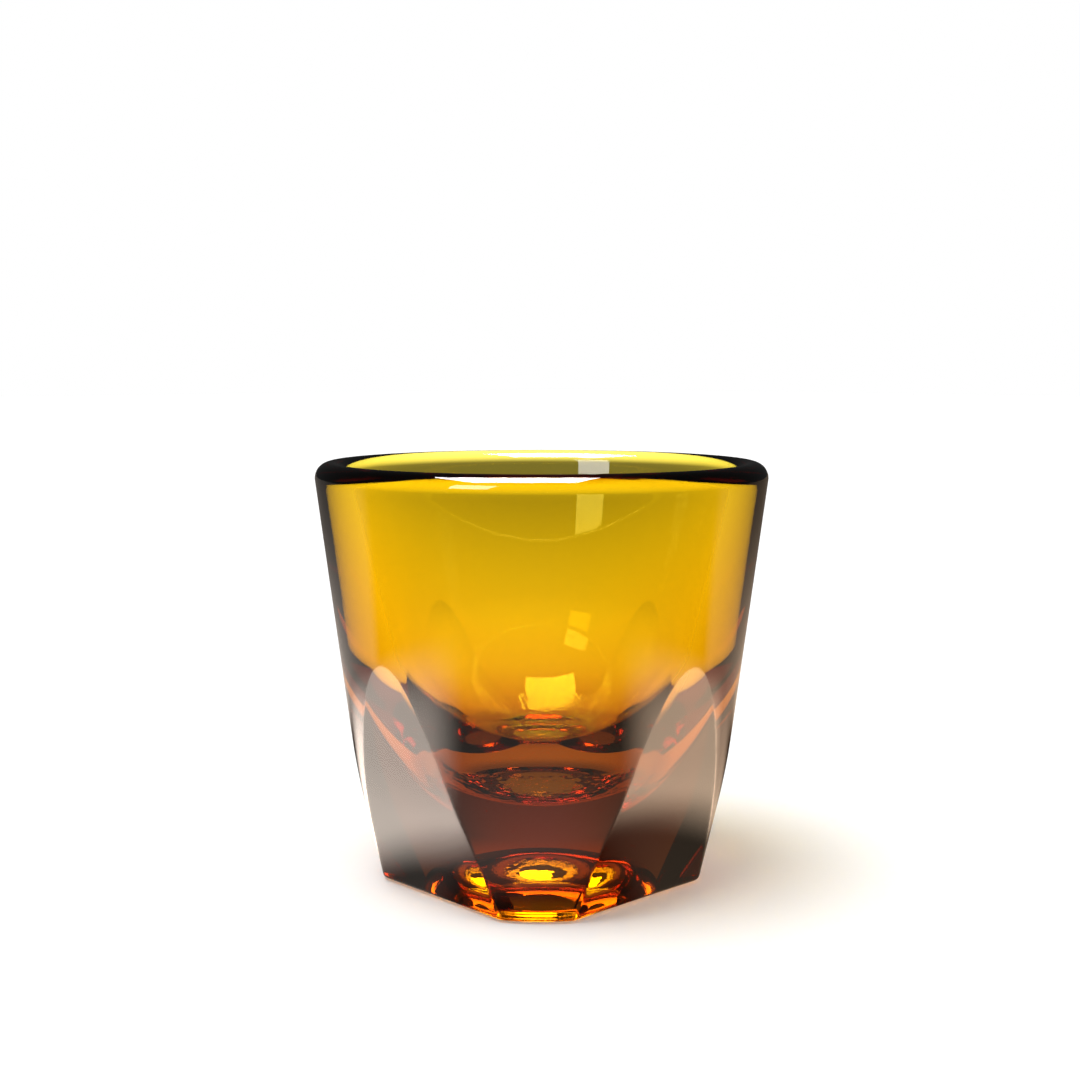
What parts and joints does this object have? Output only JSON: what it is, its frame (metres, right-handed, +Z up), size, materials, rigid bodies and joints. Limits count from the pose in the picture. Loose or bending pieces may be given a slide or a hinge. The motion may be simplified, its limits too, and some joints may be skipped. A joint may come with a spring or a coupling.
{
  "type": "espresso glass",
  "caption": "Thick amber pressed-glass espresso tumbler: round conical wall and bowl above, broad faces drawing it in to a square foot with a domed hollow beneath.",
  "frame": {"origin": "centre of the foot on the plane it rests on", "axes": "+Z up along the axis of the bowl, +X and +Y square to the faces of the foot"},
  "size_m": [0.07, 0.07, 0.0654],
  "materials": {
    "amber_glass": "fire-polished, smooth"
  },
  "bodies": {
    "root": {"glass_body": "amber_glass"}
  },
  "joints": []
}
